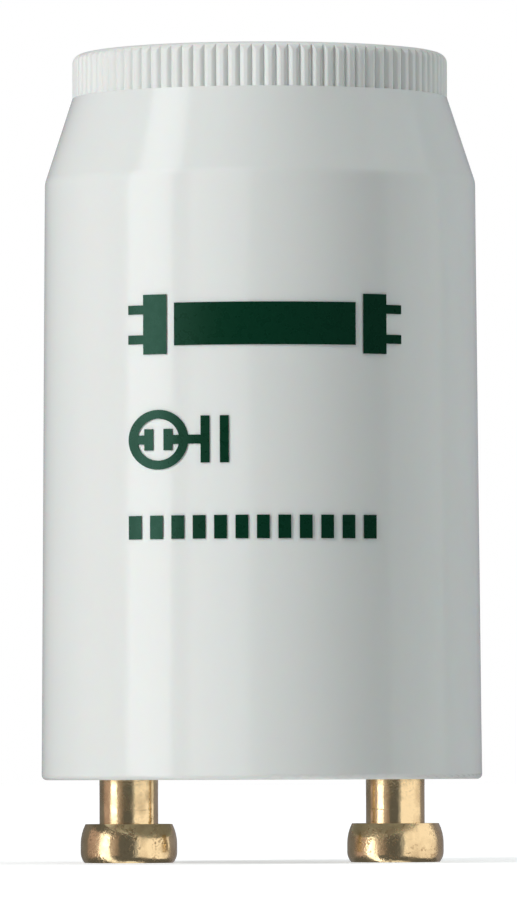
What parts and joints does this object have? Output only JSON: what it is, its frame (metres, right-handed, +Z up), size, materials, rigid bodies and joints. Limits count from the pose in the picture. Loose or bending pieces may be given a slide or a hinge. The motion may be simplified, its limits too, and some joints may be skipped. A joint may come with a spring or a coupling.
{
  "type": "fluorescent starter",
  "caption": "Glow starter for a fluorescent lamp: a pale moulded canister with a ribbed grip, standing on turned brass contact pins, with its glow switch and capacitor inside.",
  "frame": {"origin": "midway between the two pins, in the plane that their heads stand on", "axes": "+Z up along the canister's axis, X through both pins, and the printed side faces -Y"},
  "size_m": [0.021, 0.021, 0.0385],
  "materials": {
    "canister": "satin moulded polycarbonate",
    "base_plate": "matt moulded polycarbonate",
    "pin_brass": "turned, lightly tarnished",
    "solder": "smooth cast",
    "bulb_glass": "clear",
    "lead_wire": "copper clad, drawn",
    "electrode": "rolled nickel",
    "bimetal": "rolled",
    "capacitor": "dipped resin",
    "tinned_wire": "tinned, drawn",
    "ink": "satin pad print"
  },
  "bodies": {
    "starter": {"canister": "canister", "base_plate": "base_plate", "contact_pin_left": "pin_brass", "contact_pin_right": "pin_brass", "solder_left": "solder", "solder_right": "solder", "glow_bulb": "bulb_glass", "lead_wire_left": "lead_wire", "lead_wire_right": "lead_wire", "fixed_electrode": "electrode", "capacitor": "capacitor", "capacitor_wire_left": "tinned_wire", "capacitor_wire_right": "tinned_wire", "lamp_print": "ink", "circuit_print": "ink", "rule_print": "ink"},
    "bimetal": {"bimetal_strip": "bimetal"}
  },
  "joints": [
    {"name": "bimetal_bend", "type": "hinge", "parent": "starter", "child": "bimetal", "pos_m": [0.00123, 0.0039, 0.0142], "axis": [0, -1, 0], "range_deg": [0, 3.3], "stiffness_Nm_per_rad": 0.001}
  ]
}
